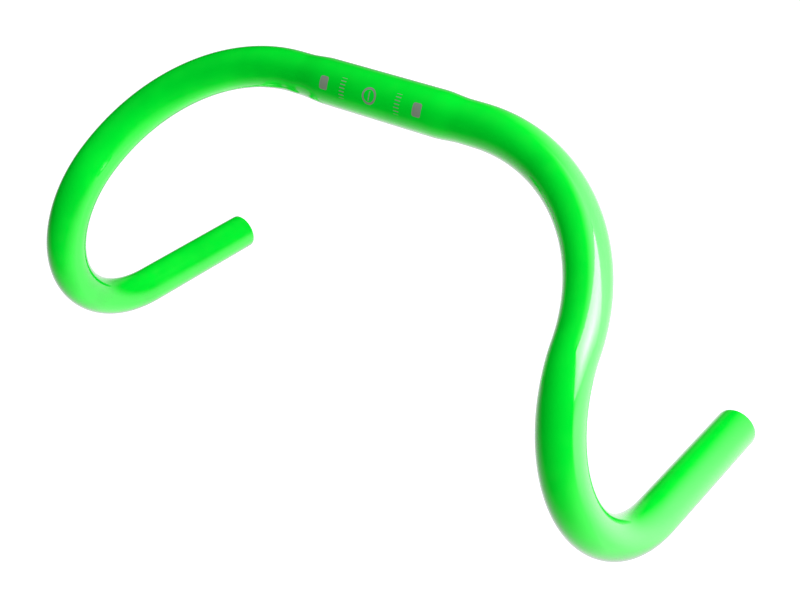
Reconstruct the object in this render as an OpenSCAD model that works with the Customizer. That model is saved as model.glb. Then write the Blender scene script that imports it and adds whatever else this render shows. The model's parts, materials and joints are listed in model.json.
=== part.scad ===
// Track drop handlebar: a single aluminium alloy tube, swollen across the middle for the stem's clamp and
// bent twice on each side, into a shoulder that sweeps out, forward and down and a hook that turns back
// to a straight grip. The origin is the middle of the clamp, X runs along the clamp, -Y is forward and
// Z is up. Both grips point straight back, level and parallel.

/* [Tube] */
// Outside diameter of the bends and the grips
tube_d = 23.8; // [22.2:0.1:25.4]
// How much wider than the tube the clamp is
swell = 2.2; // [0.4:0.1:8]
// Thickness of the tube's wall
wall = 2; // [1.4:0.1:3]

/* [Top] */
// Length of the clamp at its full diameter
clamp_w = 76; // [40:1:120]
// Length of the taper on each side of the clamp
taper_w = 18; // [8:1:40]
// Plain tube between each taper and its shoulder
plain_w = 8; // [2:1:30]

/* [Shoulders] */
// Radius of each shoulder, to the middle of the tube
shoulder_r = 105.5; // [60:0.5:140]
// Angle that each shoulder turns through
shoulder_bend = 82; // [60:1:88]
// Angle by which the shoulders dip below straight ahead
shoulder_dip = 39; // [20:1:60]

/* [Hooks and grips] */
// Radius of each hook, to the middle of the tube
hook_r = 68.5; // [45:0.5:90]
// Length of each straight grip behind its hook
grip_l = 89.5; // [60:0.5:160]
// Radius that rounds both corners of the wall at each open end
rim_r = 0.6; // [0.2:0.1:0.6]

/* [Hidden] */
paint_green = [0, 0.96, 0.17];
$fn = 72;

// The tube is drawn in metres, a scale at which each bend starts exactly where the one before it ends,
// and the whole bar is then enlarged to millimetres.
mm = 1 / 1000;
tube_r = tube_d / 2 * mm;
bore_r = tube_r - wall * mm;
clamp_r = tube_r + swell / 2 * mm;
top_half = (clamp_w / 2 + taper_w + plain_w) * mm;

// The hook's plane and angle are what the tube needs to come out of it pointing straight back. The
// angle is rounded far below what shows.
hook_bend = round(1000 * acos(-sin(shoulder_bend) * cos(shoulder_dip))) / 1000;
hook_roll = atan2(sin(shoulder_dip), -cos(shoulder_bend) * cos(shoulder_dip));

// Each taper is this many short cones, on a curve that leaves the clamp and meets the tube level.
taper_steps = 14;

function eased(t) = t * t * (3 - 2 * t);

// Right half of the top's outline, from the clamp to the start of the shoulder, lying depth below the
// outer surface
function top_edge(depth) = [
    for (i = [0:taper_steps])
        let (t = i / taper_steps)
            [(clamp_w / 2 + taper_w * t) * mm, clamp_r + (tube_r - clamp_r) * eased(t) - depth],
    [top_half, tube_r - depth]
];

function reversed(points) = [for (i = [len(points) - 1:-1:0]) points[i]];
function mirrored(points) = [for (p = reversed(points)) [-p.x, p.y]];

// Straight top of the bar: the clamp, its two tapers and the plain tube beside them
module top() {
    outside = top_edge(0);
    inside = top_edge(wall * mm);
    rotate([0, 90, 0])
        rotate_extrude()
            mirror([1, -1])
                polygon(concat(mirrored(outside), outside, reversed(inside), reversed(mirrored(inside))));
}

// Section of the plain tube
module tube_ring() {
    difference() {
        circle(tube_r);
        circle(bore_r);
    }
}

// Tube that sets out along +X and turns towards -Y, in a plane that is rolled about +X. What follows it
// is given as its children, which set out along +X from the bend's end.
module bend(radius, angle, roll) {
    rotate([roll, 0, 0])
        translate([0, -radius, 0])
            rotate(90 - angle) {
                rotate_extrude(angle = angle)
                    translate([radius, 0])
                        tube_ring();
                translate([radius, 0, 0])
                    rotate(-90)
                        children();
            }
}

// Wall of the grip on one side of its axis, with both corners of its far end rounded
module grip_wall(length, corner) {
    translate([bore_r, 0])
        square([tube_r - bore_r, length - corner]);
    translate([bore_r + corner, 0])
        square([tube_r - bore_r - 2 * corner, length]);
    for (r = [bore_r + corner, tube_r - corner])
        translate([r, length - corner])
            circle(corner);
}

// Straight grip along +X, open at its far end
module grip() {
    rotate([0, 90, 0])
        rotate_extrude()
            grip_wall(grip_l * mm, rim_r * mm);
}

// Shoulder, hook and grip of one side
module side() {
    translate([top_half, 0, 0])
        bend(shoulder_r * mm, shoulder_bend, shoulder_dip)
            bend(hook_r * mm, hook_bend, hook_roll)
                grip();
}

module handlebar() {
    color(paint_green)
        scale(1 / mm) {
            top();
            side();
            mirror([1, 0, 0])
                side();
        }
}

handlebar();
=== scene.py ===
import math
import json
import bpy
from mathutils import Matrix, Vector


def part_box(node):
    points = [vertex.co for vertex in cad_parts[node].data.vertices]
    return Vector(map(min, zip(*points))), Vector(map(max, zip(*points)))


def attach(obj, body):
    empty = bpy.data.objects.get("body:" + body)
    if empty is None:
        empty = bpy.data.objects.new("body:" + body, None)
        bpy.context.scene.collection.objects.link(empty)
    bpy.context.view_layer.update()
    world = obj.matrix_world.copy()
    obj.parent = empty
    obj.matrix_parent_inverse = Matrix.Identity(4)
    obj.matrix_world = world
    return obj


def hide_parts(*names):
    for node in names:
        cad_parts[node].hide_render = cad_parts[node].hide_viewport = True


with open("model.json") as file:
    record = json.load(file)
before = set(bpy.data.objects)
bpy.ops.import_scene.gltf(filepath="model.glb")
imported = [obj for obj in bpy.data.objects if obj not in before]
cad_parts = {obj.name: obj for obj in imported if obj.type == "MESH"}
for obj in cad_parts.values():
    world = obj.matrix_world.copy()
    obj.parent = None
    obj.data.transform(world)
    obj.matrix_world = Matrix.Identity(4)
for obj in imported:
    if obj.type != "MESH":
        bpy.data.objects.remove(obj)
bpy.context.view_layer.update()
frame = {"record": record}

# The camera. It stands in front of the bar, above it and to the rider's left, as in the photo, and leans
# a little. Its place comes from fitting the bent tube's outline to the photo.
camera_place = (0.418423, -0.488193, 0.280403)
camera_turn = math.radians(40.2457)
camera_dip = math.radians(32.5592)
camera_lean = math.radians(-2.5936)
film_width = 36
lens_length = 57.794

camera_pose = (
    Matrix.Rotation(camera_turn, 4, "Z")
    @ Matrix.Rotation(math.radians(90) - camera_dip, 4, "X")
    @ Matrix.Rotation(camera_lean, 4, "Z")
)
bpy.ops.object.camera_add(location=camera_place, rotation=camera_pose.to_euler())
camera = bpy.context.object
camera.data.sensor_width = film_width
camera.data.lens = lens_length
bpy.context.scene.camera = camera
bpy.context.scene.view_settings.view_transform = "Standard"

# The tube. One length of aluminium alloy tube, swollen at the middle for the stem's clamp, drawn down to
# the plain diameter on both sides and bent twice on each side. The left half is drawn ring by ring from
# the middle outwards, mirrored, and given the thickness of its wall.
mounts = {mount["name"]: mount for mount in frame["record"]["mounts"]}
clamp_radius = mounts["stem_clamp"]["dims"]["r_mm"] / 1000
clamp_half = mounts["stem_clamp"]["dims"]["length_mm"] / 2000
tube_radius = mounts["left_grip"]["dims"]["r_mm"] / 1000
bore_radius = mounts["left_end_bore"]["dims"]["r_mm"] / 1000
wall_thickness = tube_radius - bore_radius
grip_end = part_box("handlebar")[1][1]
taper_length = 0.018
plain_length = 0.008
shoulder_radius = 0.1055
shoulder_bend = math.radians(82)
shoulder_dip = math.radians(39)
hook_radius = 0.0685
rim_radius = 0.0006
rim_segments = 4
rim_corner = math.radians(60)
smooth_corner = math.radians(40)
around = 72
clamp_rings = 8
taper_rings = 18
plain_rings = 3
shoulder_rings = 72
hook_rings = 90
grip_rings = 30
weld_distance = 0.00001

bpy.ops.object.select_all(action="DESELECT")
bpy.ops.mesh.primitive_circle_add(
    vertices=around, radius=clamp_radius, location=(0, 0, 0), rotation=(0, math.radians(90), 0)
)
tube = bpy.context.object
tube.name = "handlebar_tube"
bpy.ops.object.transform_apply(location=True, rotation=True, scale=True)
bpy.ops.object.mode_set(mode="EDIT")
bpy.ops.mesh.select_all(action="SELECT")

# Rings of the top: the clamp, the taper on an eased curve and the plain tube beside it
plain_start = clamp_half + taper_length
stations = [clamp_half * i / clamp_rings for i in range(1, clamp_rings + 1)]
stations += [clamp_half + taper_length * i / taper_rings for i in range(1, taper_rings + 1)]
stations += [plain_start + plain_length * i / plain_rings for i in range(1, plain_rings + 1)]
here = 0
radius = clamp_radius
for station in stations:
    bpy.ops.mesh.extrude_region_move(TRANSFORM_OT_translate={"value": (station - here, 0, 0)})
    along = min(max((station - clamp_half) / taper_length, 0), 1)
    next_radius = clamp_radius + (tube_radius - clamp_radius) * along * along * (3 - 2 * along)
    if next_radius != radius:
        shrink = next_radius / radius
        bpy.ops.transform.resize(value=(1, shrink, shrink), center_override=(station, 0, 0))
    here = station
    radius = next_radius

# Each bend spins the last ring about the middle of its arc. The hook turns until it points straight back.
# The spin operator counts its angle the other way round its axis than Matrix.Rotation does.
start = Vector((here, 0, 0))
heading = Vector((1, 0, 0))
back = Vector((0, 1, 0))
inward = Vector((0, -math.cos(shoulder_dip), -math.sin(shoulder_dip)))
axis = heading.cross(inward)
centre = start + inward * shoulder_radius
bpy.ops.mesh.spin(steps=shoulder_rings, angle=-shoulder_bend, center=centre, axis=axis)
turn = Matrix.Rotation(shoulder_bend, 3, axis)
start = centre + turn @ (start - centre)
heading = turn @ heading

inward = (back - heading * back.dot(heading)).normalized()
axis = heading.cross(inward)
hook_bend = heading.angle(back)
centre = start + inward * hook_radius
bpy.ops.mesh.spin(steps=hook_rings, angle=-hook_bend, center=centre, axis=axis)
turn = Matrix.Rotation(hook_bend, 3, axis)
start = centre + turn @ (start - centre)

grip_step = (grip_end - start.y) / grip_rings
for i in range(grip_rings):
    bpy.ops.mesh.extrude_region_move(TRANSFORM_OT_translate={"value": (0, grip_step, 0)})
bpy.ops.object.mode_set(mode="OBJECT")

# The other half, then the wall, measured inwards, and the rounded corners of both rims. The skin and the
# rims take the first material, which is the paint, and the inside of the wall takes the second.
paint = bpy.data.materials.new("green_paint")
alloy = bpy.data.materials.new("bare_alloy")
tube.data.materials.append(paint)
tube.data.materials.append(alloy)
mirror = tube.modifiers.new("other_half", "MIRROR")
mirror.use_axis = (True, False, False)
mirror.use_mirror_merge = True
mirror.merge_threshold = weld_distance
bpy.ops.object.modifier_apply(modifier=mirror.name)
bpy.ops.object.mode_set(mode="EDIT")
bpy.ops.mesh.select_all(action="SELECT")
bpy.ops.mesh.remove_doubles(threshold=weld_distance)
bpy.ops.mesh.normals_make_consistent(inside=False)
bpy.ops.object.mode_set(mode="OBJECT")

thicken = tube.modifiers.new("wall", "SOLIDIFY")
thicken.thickness = wall_thickness
thicken.offset = -1
thicken.use_even_offset = False
thicken.use_rim = True
thicken.material_offset = 1
thicken.material_offset_rim = 0
bpy.ops.object.modifier_apply(modifier=thicken.name)
rounding = tube.modifiers.new("rims", "BEVEL")
rounding.width = rim_radius
rounding.segments = rim_segments
rounding.limit_method = "ANGLE"
rounding.angle_limit = rim_corner
bpy.ops.object.modifier_apply(modifier=rounding.name)
bpy.ops.object.shade_smooth_by_angle(angle=smooth_corner)

# Paint. A gloss green enamel with a clear coat, sprayed over the whole outside and both rims. Its colour
# and gloss wander a little, and it dries with the fine ripple of sprayed paint. Inside the open ends the
# same enamel is a thin overspray.
enamel_green = (0, 0.92, 0.026, 1)
deep_share = 0.94
light_share = 1.04
patch_size = 0.03
dull_size = 0.0075
grain_span = (0.3, 0.7)
enamel_roughness = (0.08, 0.14)
enamel_ior = 1.5
coat_roughness = 0.02
ripple_size = 0.0016
ripple_strength = 0.25
ripple_depth = 0.00002


def calc(nodes, operation, *values):
    """Adds a Math node on plain numbers and other nodes' outputs, and gives its result."""
    node = nodes.new("ShaderNodeMath")
    node.operation = operation
    for socket, value in zip(node.inputs, values):
        if isinstance(value, bpy.types.NodeSocket):
            nodes.id_data.links.new(value, socket)
        else:
            socket.default_value = value
    return node.outputs["Value"]


def fade(nodes, value, low, high, at_low=0.0, at_high=1.0):
    """Adds a smooth step from at_low, where value is low, to at_high, where it is high."""
    node = nodes.new("ShaderNodeMapRange")
    node.interpolation_type = "SMOOTHSTEP"
    for name, number in (("From Min", low), ("From Max", high), ("To Min", at_low), ("To Max", at_high)):
        node.inputs[name].default_value = number
    nodes.id_data.links.new(value, node.inputs["Value"])
    return node.outputs["Result"]


def place_on_bar(nodes):
    """Gives the place on the bar in metres, whole and taken apart into X, Y and Z."""
    place = nodes.new("ShaderNodeTexCoord").outputs["Object"]
    apart = nodes.new("ShaderNodeSeparateXYZ")
    nodes.id_data.links.new(place, apart.inputs["Vector"])
    return place, apart.outputs


def grain(nodes, place, size, detail=2.0):
    """Adds noise whose lumps are about size metres wide."""
    node = nodes.new("ShaderNodeTexNoise")
    node.inputs["Scale"].default_value = 1 / size
    node.inputs["Detail"].default_value = detail
    nodes.id_data.links.new(place, node.inputs["Vector"])
    return node.outputs["Fac"]


def blend(nodes, amount, first, second):
    """Adds a colour that goes from first, where amount is 0, to second, where it is 1."""
    node = nodes.new("ShaderNodeMix")
    node.data_type = "RGBA"
    nodes.id_data.links.new(amount, node.inputs["Factor"])
    # Its colour sockets share their names with those of its other kinds, and so go by number
    for number, colour in ((6, first), (7, second)):
        socket = node.inputs[number]
        if isinstance(colour, bpy.types.NodeSocket):
            nodes.id_data.links.new(colour, socket)
        else:
            socket.default_value = colour
    return node.outputs[2]


def bumps(nodes, height, strength, depth):
    """Adds bumps as deep as depth, in metres, and gives the normal."""
    node = nodes.new("ShaderNodeBump")
    node.inputs["Strength"].default_value = strength
    node.inputs["Distance"].default_value = depth
    nodes.id_data.links.new(height, node.inputs["Height"])
    return node.outputs["Normal"]


enamel = bpy.data.node_groups.new("sprayed_enamel", "ShaderNodeTree")
enamel.interface.new_socket("Place", in_out="INPUT", socket_type="NodeSocketVector")
enamel.interface.new_socket("Colour", in_out="OUTPUT", socket_type="NodeSocketColor")
enamel.interface.new_socket("Roughness", in_out="OUTPUT", socket_type="NodeSocketFloat")
enamel.interface.new_socket("Ripple", in_out="OUTPUT", socket_type="NodeSocketFloat")
nodes = enamel.nodes
links = enamel.links
group_place = nodes.new("NodeGroupInput").outputs["Place"]
group_out = nodes.new("NodeGroupOutput")
deeper = [level * deep_share for level in enamel_green[:3]] + [1]
lighter = [min(level * light_share, 1) for level in enamel_green[:3]] + [1]
thin_spots = fade(nodes, grain(nodes, group_place, patch_size), *grain_span)
dull_spots = fade(nodes, grain(nodes, group_place, dull_size), *grain_span, *enamel_roughness)
links.new(blend(nodes, thin_spots, deeper, lighter), group_out.inputs["Colour"])
links.new(dull_spots, group_out.inputs["Roughness"])
links.new(grain(nodes, group_place, ripple_size, 1), group_out.inputs["Ripple"])

# Marks. A plain scale in grey ink on the front of the clamp, by which the stem is centred: a block near
# each end, a ladder of short lines further in and a ring with a line through it in the middle. The ink
# is printed over the enamel and is duller than it.
ink_grey = (0.27, 0.34, 0.22, 1)
ink_roughness = 0.4
coat_over_ink = 0.5
ink_edge = 0.00012
marks_rise = math.radians(23)
block_at = 0.0322
block_half = (0.0029, 0.0038)
block_corner = 0.0014
ladder_at = 0.019
ladder_half = (0.0018, 0.0057)
rung_pitch = 0.0019
rung_width = 0.0005
ring_radius = 0.00415
ring_line = 0.0013
centre_line_half = (0.00035, 0.0026)

paint.use_nodes = True
nodes = paint.node_tree.nodes
links = paint.node_tree.links
place, apart = place_on_bar(nodes)
aside = calc(nodes, "ABSOLUTE", apart["X"])
angle = calc(nodes, "ARCTAN2", apart["Z"], calc(nodes, "MULTIPLY", apart["Y"], -1))
rise = calc(nodes, "MULTIPLY", calc(nodes, "SUBTRACT", angle, marks_rise), clamp_radius)


def far_from(across, up):
    """How far a place is from across = 0 and up = 0."""
    squares = calc(nodes, "ADD", calc(nodes, "POWER", across, 2), calc(nodes, "POWER", up, 2))
    return calc(nodes, "SQRT", squares)


def beyond(value, limit):
    """How far value lies past limit on either side of 0."""
    return calc(nodes, "MAXIMUM", calc(nodes, "SUBTRACT", calc(nodes, "ABSOLUTE", value), limit), 0)


def ink_within(distance, limit):
    """Ink up to limit, as 1 within it and 0 past it."""
    return fade(nodes, distance, limit - ink_edge, limit + ink_edge, 1, 0)


def box_ink(across, up, half, corner):
    """Ink inside a rounded box about across = 0 and up = 0."""
    past_sides = far_from(beyond(across, half[0] - corner), beyond(up, half[1] - corner))
    return ink_within(past_sides, corner)


blocks = box_ink(calc(nodes, "SUBTRACT", aside, block_at), rise, block_half, block_corner)
ladders = box_ink(calc(nodes, "SUBTRACT", aside, ladder_at), rise, ladder_half, ink_edge)
from_rung = calc(nodes, "ABSOLUTE", calc(nodes, "WRAP", rise, rung_pitch / 2, -rung_pitch / 2))
ladders = calc(nodes, "MULTIPLY", ladders, ink_within(from_rung, rung_width / 2))
from_ring = calc(nodes, "SUBTRACT", far_from(apart["X"], rise), ring_radius)
ring = ink_within(calc(nodes, "ABSOLUTE", from_ring), ring_line / 2)
centre_line = box_ink(apart["X"], rise, centre_line_half, ink_edge)
ink = calc(nodes, "MAXIMUM", blocks, ladders)
ink = calc(nodes, "MAXIMUM", ink, calc(nodes, "MAXIMUM", ring, centre_line))

skin = nodes.new("ShaderNodeGroup")
skin.node_tree = enamel
links.new(place, skin.inputs["Place"])
skin_colour = blend(nodes, ink, skin.outputs["Colour"], ink_grey)
ink_dullness = calc(nodes, "MULTIPLY", ink, ink_roughness)
skin_roughness = calc(nodes, "MAXIMUM", skin.outputs["Roughness"], ink_dullness)
shader = nodes["Principled BSDF"]
shader.inputs["IOR"].default_value = enamel_ior
shader.inputs["Coat Roughness"].default_value = coat_roughness
links.new(skin_colour, shader.inputs["Base Color"])
links.new(skin_roughness, shader.inputs["Roughness"])
links.new(fade(nodes, ink, 0, 1, 1, coat_over_ink), shader.inputs["Coat Weight"])
links.new(bumps(nodes, skin.outputs["Ripple"], ripple_strength, ripple_depth), shader.inputs["Normal"])

# Inside of the tube. Bare alloy as it was drawn, with fine lines along the grips. The paint was sprayed
# with the ends open, so some of it lies inside them as a speckled overspray that fades with depth.
alloy_grey = (0.74, 0.75, 0.76, 1)
line_shade = 0.85
line_width = 0.0004
line_stretch = 0.02
line_detail = 3
alloy_roughness = (0.4, 0.55)
score_strength = 0.4
score_depth = 0.00003
overspray_depth = 0.017
overspray_full = 0.002
speck_size = 0.0009
speck_detail = 3
speck_reach = 0.03

alloy.use_nodes = True
nodes = alloy.node_tree.nodes
links = alloy.node_tree.links
place, apart = place_on_bar(nodes)
stretched = nodes.new("ShaderNodeMapping")
stretched.inputs["Scale"].default_value = (1, line_stretch, 1)
links.new(place, stretched.inputs["Vector"])
lines = grain(nodes, stretched.outputs["Vector"], line_width, line_detail)
specks = calc(nodes, "SUBTRACT", grain(nodes, place, speck_size, speck_detail), 0.5)
reached = calc(nodes, "MULTIPLY_ADD", specks, speck_reach, apart["Y"])
cover = fade(nodes, reached, grip_end - overspray_depth, grip_end - overspray_full)
skin = nodes.new("ShaderNodeGroup")
skin.node_tree = enamel
links.new(place, skin.inputs["Place"])
score_height = calc(nodes, "MULTIPLY_ADD", cover, skin.outputs["Ripple"], lines)
shaded_grey = [level * line_shade for level in alloy_grey[:3]] + [1]
drawn_grey = blend(nodes, lines, shaded_grey, alloy_grey)
shader = nodes["Principled BSDF"]
links.new(blend(nodes, cover, drawn_grey, skin.outputs["Colour"]), shader.inputs["Base Color"])
links.new(calc(nodes, "SUBTRACT", 1, cover), shader.inputs["Metallic"])
links.new(fade(nodes, lines, *grain_span, *alloy_roughness), shader.inputs["Roughness"])
links.new(bumps(nodes, score_height, score_strength, score_depth), shader.inputs["Normal"])

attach(tube, "root")
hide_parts("handlebar")

# Floor. A white table under the bar, which takes the bar's soft shadow. Only the camera sees it. What the
# bar mirrors of it, and the light that it throws back up, are part of the room.
table_size = 4
table_place = (-0.3, 0.6, -0.36)
table_white = (0.7, 0.7, 0.7, 1)
table_glow = 0.6

bpy.ops.mesh.primitive_plane_add(size=table_size, location=table_place)
floor = bpy.context.object
floor.name = "white_table"
bpy.ops.object.transform_apply(location=True, rotation=True, scale=True)
table_top = bpy.data.materials.new("table_white")
table_top.use_nodes = True
shader = table_top.node_tree.nodes["Principled BSDF"]
shader.inputs["Base Color"].default_value = table_white
shader.inputs["Roughness"].default_value = 1
shader.inputs["Specular IOR Level"].default_value = 0
shader.inputs["Emission Color"].default_value = (1, 1, 1, 1)
shader.inputs["Emission Strength"].default_value = table_glow
floor.data.materials.append(table_top)
floor.visible_glossy = False
floor.visible_diffuse = False

# Room. A white one, dark only where the camera stands. The bar mirrors the table, the wall behind it, a
# faint wall on the far side and the glow on the ceiling over the softbox, and a soft light of its own falls
# on it from all around. Each set of four is a level and its slopes along the X, Y and Z looked along.
table_level = (0.753, 0.018, 1.046, 0)
table_most = 0.958
table_fall = (0, 0, 0.161, -1)
table_fall_span = (-0.034, 0.516)
wall_level = (0.573, 0.838, 0, 0)
wall_rise = (0, 0.558, 0, 1)
wall_rise_span = (-0.196, 0.181)
wall_side = (0, -1, 4.742, 0)
wall_side_span = (-0.2, 0.2)
wall_start_span = (-0.03, 0.03)
far_level = 0.2
far_side = (0, 1, 1, 0)
far_side_span = (-0.1, 0.25)
ceiling_level = 3.28
ceiling_side = (0, 0.839, 0.544, 0)
ceiling_side_span = (-0.126, 0.596)
ceiling_rise_span = (0.858, 0.878)
soft_level = (0.235, 0.48, 0.05, -0.42)
soft_curve = (0, -0.84, 0.78, 1.55)

room = bpy.data.worlds.new("white_room")
bpy.context.scene.world = room
room.use_nodes = True
nodes = room.node_tree.nodes
links = room.node_tree.links
nodes.clear()
apart = nodes.new("ShaderNodeSeparateXYZ")
links.new(nodes.new("ShaderNodeTexCoord").outputs["Generated"], apart.inputs["Vector"])
x = apart.outputs["X"]
y = apart.outputs["Y"]
z = apart.outputs["Z"]


def sloping(numbers):
    """The level in the direction looked in, from its level and its slopes along X, Y and Z."""
    level = numbers[0]
    for way, slope in zip((x, y, z), numbers[1:]):
        if slope:
            level = calc(nodes, "MULTIPLY_ADD", way, slope, level)
    return level


table = calc(nodes, "MINIMUM", calc(nodes, "MAXIMUM", sloping(table_level), 0), table_most)
table = calc(nodes, "MULTIPLY", table, fade(nodes, sloping(table_fall), *table_fall_span))
far_wall = fade(nodes, sloping(far_side), *far_side_span, 0, far_level)
wall = calc(nodes, "MAXIMUM", sloping(wall_level), far_wall)
wall = calc(nodes, "MULTIPLY", wall, fade(nodes, sloping(wall_rise), *wall_rise_span, 1, 0))
wall = calc(nodes, "MULTIPLY", wall, fade(nodes, sloping(wall_side), *wall_side_span))
wall = calc(nodes, "MULTIPLY", wall, fade(nodes, y, *wall_start_span))
ceiling = fade(nodes, sloping(ceiling_side), *ceiling_side_span, 0, ceiling_level)
ceiling = calc(nodes, "MULTIPLY", ceiling, fade(nodes, z, *ceiling_rise_span))
mirrored = calc(nodes, "MAXIMUM", calc(nodes, "MAXIMUM", ceiling, wall), table)
soft = calc(nodes, "MULTIPLY_ADD", z, sloping(soft_curve), sloping(soft_level))
soft = calc(nodes, "MAXIMUM", soft, 0)

rays = nodes.new("ShaderNodeLightPath")
glossy = rays.outputs["Is Glossy Ray"]
seen = rays.outputs["Is Camera Ray"]
soft = calc(nodes, "MULTIPLY", calc(nodes, "SUBTRACT", 1, glossy), soft)
strength = calc(nodes, "MULTIPLY_ADD", glossy, mirrored, soft)
strength = calc(nodes, "MULTIPLY", calc(nodes, "SUBTRACT", 1, seen), strength)
strength = calc(nodes, "ADD", seen, strength)
backdrop = nodes.new("ShaderNodeBackground")
backdrop.inputs["Color"].default_value = (1, 1, 1, 1)
links.new(strength, backdrop.inputs["Strength"])
room_out = nodes.new("ShaderNodeOutputWorld")
links.new(backdrop.outputs["Background"], room_out.inputs["Surface"])

# Softbox. A bright cloth face, brightest near its middle, over the bar on the rider's left, with a soft
# white reflector below it and another behind the bar. The bar mirrors all three. The light that they
# throw on it is the lamp's, which stands at the softbox's place and is a little blue.
lamp_size = 0.9
lamp_light = 3.25
lamp_tint = (0.95, 1, 1.6)
lamp_centre = Vector((0.873, -0.055, 0.622))
bar_middle = Vector((0.1, -0.03, -0.08))


def glowing_sheet(name, centre, across, up, half, edge, level, slopes, hot_spot):
    """Adds a flat sheet that only shows in reflections. Its level is that in its middle, the slopes are
    what a metre across and a metre up add to it, and the hot spot is what the middle has on top."""
    across = Vector(across).normalized()
    up = Vector(up).normalized()
    full = [2 * (side + edge) for side in half]
    turn = Matrix((across, up, across.cross(up))).transposed().to_4x4()
    bpy.ops.mesh.primitive_plane_add(size=1)
    sheet = bpy.context.object
    sheet.name = name
    sheet.matrix_world = Matrix.Translation(centre) @ turn @ Matrix.Diagonal((*full, 1, 1))
    sheet.visible_camera = False
    sheet.visible_diffuse = False
    sheet.visible_shadow = False

    cloth = bpy.data.materials.new(name)
    cloth.use_nodes = True
    sheet.data.materials.append(cloth)
    nodes = cloth.node_tree.nodes
    links = cloth.node_tree.links
    nodes.clear()
    apart = nodes.new("ShaderNodeSeparateXYZ")
    links.new(nodes.new("ShaderNodeTexCoord").outputs["UV"], apart.inputs["Vector"])
    right = calc(nodes, "MULTIPLY", calc(nodes, "SUBTRACT", apart.outputs["X"], 0.5), full[0])
    above = calc(nodes, "MULTIPLY", calc(nodes, "SUBTRACT", apart.outputs["Y"], 0.5), full[1])
    off_across = calc(nodes, "ABSOLUTE", right)
    off_up = calc(nodes, "ABSOLUTE", above)
    side_fade = fade(nodes, off_across, half[0] - edge, half[0] + edge, 1, 0)
    end_fade = fade(nodes, off_up, half[1] - edge, half[1] + edge, 1, 0)
    near_across = fade(nodes, off_across, 0, half[0], 1, 0)
    near_up = fade(nodes, off_up, 0, half[1], 1, 0)
    glow_level = calc(nodes, "MULTIPLY_ADD", right, slopes[0], level)
    glow_level = calc(nodes, "MULTIPLY_ADD", above, slopes[1], glow_level)
    hot = calc(nodes, "MULTIPLY", near_across, near_up)
    glow_level = calc(nodes, "MULTIPLY_ADD", hot, hot_spot, glow_level)
    glow = nodes.new("ShaderNodeEmission")
    links.new(calc(nodes, "MAXIMUM", glow_level, 0), glow.inputs["Strength"])
    clear = nodes.new("ShaderNodeBsdfTransparent")
    mixed = nodes.new("ShaderNodeMixShader")
    links.new(calc(nodes, "MULTIPLY", side_fade, end_fade), mixed.inputs["Fac"])
    links.new(clear.outputs["BSDF"], mixed.inputs[1])
    links.new(glow.outputs["Emission"], mixed.inputs[2])
    cloth_out = nodes.new("ShaderNodeOutputMaterial")
    links.new(mixed.outputs["Shader"], cloth_out.inputs["Surface"])


glowing_sheet(
    "softbox_face",
    centre=(1.0019, 0.0321, 0.4457),
    across=(0.3123, -0.9061, 0.2856),
    up=(-0.8344, -0.1179, 0.5385),
    half=(0.526, 0.568),
    edge=0.012,
    level=7.22,
    slopes=(-6.0, 1.75),
    hot_spot=4.8,
)
glowing_sheet(
    "low_reflector",
    centre=(0.5271, -0.003, -0.1647),
    across=(0.8738, -0.4583, -0.1627),
    up=(0.085, -0.1855, 0.979),
    half=(0.294, 0.2),
    edge=0.165,
    level=2.18,
    slopes=(-1.33, 3.99),
    hot_spot=0,
)
glowing_sheet(
    "back_reflector",
    centre=(0.2928, 0.1078, 0.1397),
    across=(0.971, 0.1619, -0.1759),
    up=(0.1389, 0.2171, 0.9662),
    half=(0.184, 0.19),
    edge=0.063,
    level=3.01,
    slopes=(5.98, 2.33),
    hot_spot=0,
)

bpy.ops.object.light_add(type="AREA", location=lamp_centre)
lamp = bpy.context.object
lamp.rotation_euler = (bar_middle - lamp_centre).to_track_quat("-Z", "Y").to_euler()
lamp.data.shape = "SQUARE"
lamp.data.size = lamp_size
lamp.data.energy = lamp_light * math.pi * lamp_size * lamp_size
lamp.data.color = lamp_tint
lamp.visible_glossy = False
